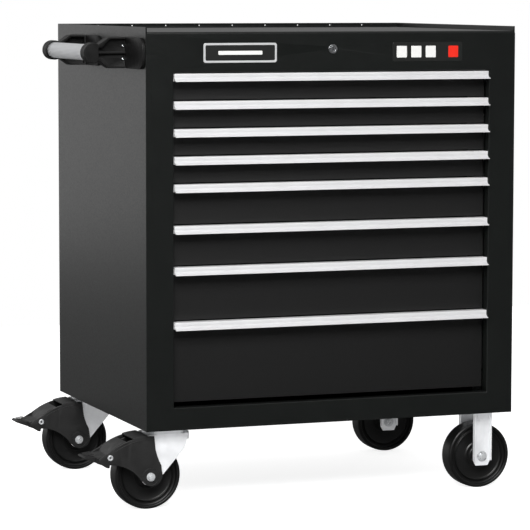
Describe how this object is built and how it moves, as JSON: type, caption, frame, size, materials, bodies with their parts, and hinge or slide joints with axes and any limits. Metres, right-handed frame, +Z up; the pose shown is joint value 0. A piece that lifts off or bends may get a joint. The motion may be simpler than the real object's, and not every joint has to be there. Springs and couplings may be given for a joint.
{
  "type": "rolling tool chest",
  "caption": "Sheet-steel roller cabinet of stacked drawers on telescoping slides, with a recessed top deck, a side push handle and braked swivel and rigid casters.",
  "frame": {"origin": "on the floor, at the centre of the whole object's footprint", "axes": "+Z up, +X to the right seen from the front, +Y from the drawer fronts to the back"},
  "size_m": [1.0054, 0.673, 1.0405],
  "materials": {
    "cabinet_paint": "satin black powder coat",
    "drawer_paint": "fine-textured black powder coat",
    "pull_aluminium": "satin anodised extrusion",
    "zinc_steel": "bright zinc plate",
    "bracket_nylon": "moulded glass-filled nylon",
    "grip_aluminium": "fluted satin extrusion",
    "lock_chrome": "polished chrome",
    "badge_aluminium": "printed satin plate",
    "brake_nylon": "moulded nylon",
    "wheel_polyolefin": "moulded polyolefin",
    "caster_zinc": "bright zinc plate",
    "fastener_steel": "zinc-plated steel"
  },
  "bodies": {
    "cabinet": {"side_panel_left": "cabinet_paint", "side_panel_right": "cabinet_paint", "back_panel": "cabinet_paint", "floor_pan": "cabinet_paint", "top_deck": "cabinet_paint", "face_frame": "cabinet_paint", "uprights": "zinc_steel", "slide_rails": "zinc_steel", "caster_channels": "zinc_steel", "handle_bracket_front": "bracket_nylon", "handle_bracket_rear": "bracket_nylon", "handle_grip": "grip_aluminium", "handle_screws": "fastener_steel", "lock_case": "lock_chrome", "badges": "badge_aluminium", "caster_bolts": "fastener_steel", "front_left_plate": "caster_zinc", "rear_left_plate": "caster_zinc", "front_right_fork": "caster_zinc", "front_right_axle": "fastener_steel", "rear_right_fork": "caster_zinc", "rear_right_axle": "fastener_steel"},
    "lock_cylinder": {"lock_core": "lock_chrome"},
    "locking_bar": {"lock_bar": "zinc_steel"},
    "drawer_1": {"drawer_1_box": "drawer_paint", "drawer_1_pull": "pull_aluminium"},
    "glides_1": {"drawer_1_glides": "zinc_steel"},
    "drawer_2": {"drawer_2_box": "drawer_paint", "drawer_2_pull": "pull_aluminium"},
    "glides_2": {"drawer_2_glides": "zinc_steel"},
    "drawer_3": {"drawer_3_box": "drawer_paint", "drawer_3_pull": "pull_aluminium"},
    "glides_3": {"drawer_3_glides": "zinc_steel"},
    "drawer_4": {"drawer_4_box": "drawer_paint", "drawer_4_pull": "pull_aluminium"},
    "glides_4": {"drawer_4_glides": "zinc_steel"},
    "drawer_5": {"drawer_5_box": "drawer_paint", "drawer_5_pull": "pull_aluminium"},
    "glides_5": {"drawer_5_glides": "zinc_steel"},
    "drawer_6": {"drawer_6_box": "drawer_paint", "drawer_6_pull": "pull_aluminium"},
    "glides_6": {"drawer_6_glides": "zinc_steel"},
    "drawer_7": {"drawer_7_box": "drawer_paint", "drawer_7_pull": "pull_aluminium"},
    "glides_7": {"drawer_7_glides": "zinc_steel"},
    "drawer_8": {"drawer_8_box": "drawer_paint", "drawer_8_pull": "pull_aluminium"},
    "glides_8": {"drawer_8_glides": "zinc_steel"},
    "front_left_swivel": {"front_left_fork": "caster_zinc", "front_left_cover": "brake_nylon", "front_left_axle": "fastener_steel"},
    "front_left_brake": {"front_left_pedal": "brake_nylon"},
    "front_left_rolling": {"front_left_wheel": "wheel_polyolefin"},
    "rear_left_swivel": {"rear_left_fork": "caster_zinc", "rear_left_cover": "brake_nylon", "rear_left_axle": "fastener_steel"},
    "rear_left_brake": {"rear_left_pedal": "brake_nylon"},
    "rear_left_rolling": {"rear_left_wheel": "wheel_polyolefin"},
    "front_right_rolling": {"front_right_wheel": "wheel_polyolefin"},
    "rear_right_rolling": {"rear_right_wheel": "wheel_polyolefin"}
  },
  "joints": [
    {"name": "drawer_1_slide", "type": "slide", "parent": "cabinet", "child": "drawer_1", "axis": [0, -1, 0], "range_m": [0, 0.55]},
    {"name": "glides_1_slide", "type": "slide", "parent": "cabinet", "child": "glides_1", "axis": [0, -1, 0], "range_m": [0, 0.275]},
    {"name": "drawer_2_slide", "type": "slide", "parent": "cabinet", "child": "drawer_2", "axis": [0, -1, 0], "range_m": [0, 0.55]},
    {"name": "glides_2_slide", "type": "slide", "parent": "cabinet", "child": "glides_2", "axis": [0, -1, 0], "range_m": [0, 0.275]},
    {"name": "drawer_3_slide", "type": "slide", "parent": "cabinet", "child": "drawer_3", "axis": [0, -1, 0], "range_m": [0, 0.55]},
    {"name": "glides_3_slide", "type": "slide", "parent": "cabinet", "child": "glides_3", "axis": [0, -1, 0], "range_m": [0, 0.275]},
    {"name": "drawer_4_slide", "type": "slide", "parent": "cabinet", "child": "drawer_4", "axis": [0, -1, 0], "range_m": [0, 0.55]},
    {"name": "glides_4_slide", "type": "slide", "parent": "cabinet", "child": "glides_4", "axis": [0, -1, 0], "range_m": [0, 0.275]},
    {"name": "drawer_5_slide", "type": "slide", "parent": "cabinet", "child": "drawer_5", "axis": [0, -1, 0], "range_m": [0, 0.55]},
    {"name": "glides_5_slide", "type": "slide", "parent": "cabinet", "child": "glides_5", "axis": [0, -1, 0], "range_m": [0, 0.275]},
    {"name": "drawer_6_slide", "type": "slide", "parent": "cabinet", "child": "drawer_6", "axis": [0, -1, 0], "range_m": [0, 0.55]},
    {"name": "glides_6_slide", "type": "slide", "parent": "cabinet", "child": "glides_6", "axis": [0, -1, 0], "range_m": [0, 0.275]},
    {"name": "drawer_7_slide", "type": "slide", "parent": "cabinet", "child": "drawer_7", "axis": [0, -1, 0], "range_m": [0, 0.55]},
    {"name": "glides_7_slide", "type": "slide", "parent": "cabinet", "child": "glides_7", "axis": [0, -1, 0], "range_m": [0, 0.275]},
    {"name": "drawer_8_slide", "type": "slide", "parent": "cabinet", "child": "drawer_8", "axis": [0, -1, 0], "range_m": [0, 0.55]},
    {"name": "glides_8_slide", "type": "slide", "parent": "cabinet", "child": "glides_8", "axis": [0, -1, 0], "range_m": [0, 0.275]},
    {"name": "lock_turn", "type": "hinge", "parent": "cabinet", "child": "lock_cylinder", "pos_m": [0.0529, -0.3255, 0.9925], "axis": [0, 1, 0], "range_deg": [0, 90]},
    {"name": "lock_bar_lift", "type": "slide", "parent": "cabinet", "child": "locking_bar", "axis": [0, 0, 1], "range_m": [0, 0.012]},
    {"name": "front_left_swivel_turn", "type": "hinge", "parent": "cabinet", "child": "front_left_swivel", "pos_m": [-0.3156, -0.2635, 0.1635], "axis": [0, 0, 1], "continuous": true},
    {"name": "front_left_wheel_roll", "type": "hinge", "parent": "front_left_swivel", "child": "front_left_rolling", "pos_m": [-0.3572, -0.2635, 0.074], "axis": [0, 1, 0], "continuous": true},
    {"name": "front_left_brake_press", "type": "hinge", "parent": "front_left_swivel", "child": "front_left_brake", "pos_m": [-0.4482, -0.2635, 0.1205], "axis": [0, 1, 0], "range_deg": [-12, 0]},
    {"name": "front_right_wheel_roll", "type": "hinge", "parent": "cabinet", "child": "front_right_rolling", "pos_m": [0.4287, -0.2635, 0.074], "axis": [0, 1, 0], "continuous": true},
    {"name": "rear_left_swivel_turn", "type": "hinge", "parent": "cabinet", "child": "rear_left_swivel", "pos_m": [-0.3156, 0.2745, 0.1635], "axis": [0, 0, 1], "continuous": true},
    {"name": "rear_left_wheel_roll", "type": "hinge", "parent": "rear_left_swivel", "child": "rear_left_rolling", "pos_m": [-0.3572, 0.2745, 0.074], "axis": [0, 1, 0], "continuous": true},
    {"name": "rear_left_brake_press", "type": "hinge", "parent": "rear_left_swivel", "child": "rear_left_brake", "pos_m": [-0.4482, 0.2745, 0.1205], "axis": [0, 1, 0], "range_deg": [-12, 0]},
    {"name": "rear_right_wheel_roll", "type": "hinge", "parent": "cabinet", "child": "rear_right_rolling", "pos_m": [0.4287, 0.2745, 0.074], "axis": [0, 1, 0], "continuous": true}
  ],
  "couplings": [
    {"joint": "glides_1_slide", "follows": "drawer_1_slide", "ratio": 0.5},
    {"joint": "glides_2_slide", "follows": "drawer_2_slide", "ratio": 0.5},
    {"joint": "glides_3_slide", "follows": "drawer_3_slide", "ratio": 0.5},
    {"joint": "glides_4_slide", "follows": "drawer_4_slide", "ratio": 0.5},
    {"joint": "glides_5_slide", "follows": "drawer_5_slide", "ratio": 0.5},
    {"joint": "glides_6_slide", "follows": "drawer_6_slide", "ratio": 0.5},
    {"joint": "glides_7_slide", "follows": "drawer_7_slide", "ratio": 0.5},
    {"joint": "glides_8_slide", "follows": "drawer_8_slide", "ratio": 0.5},
    {"joint": "lock_turn", "follows": "lock_bar_lift", "rad_per_m": 130.9}
  ]
}
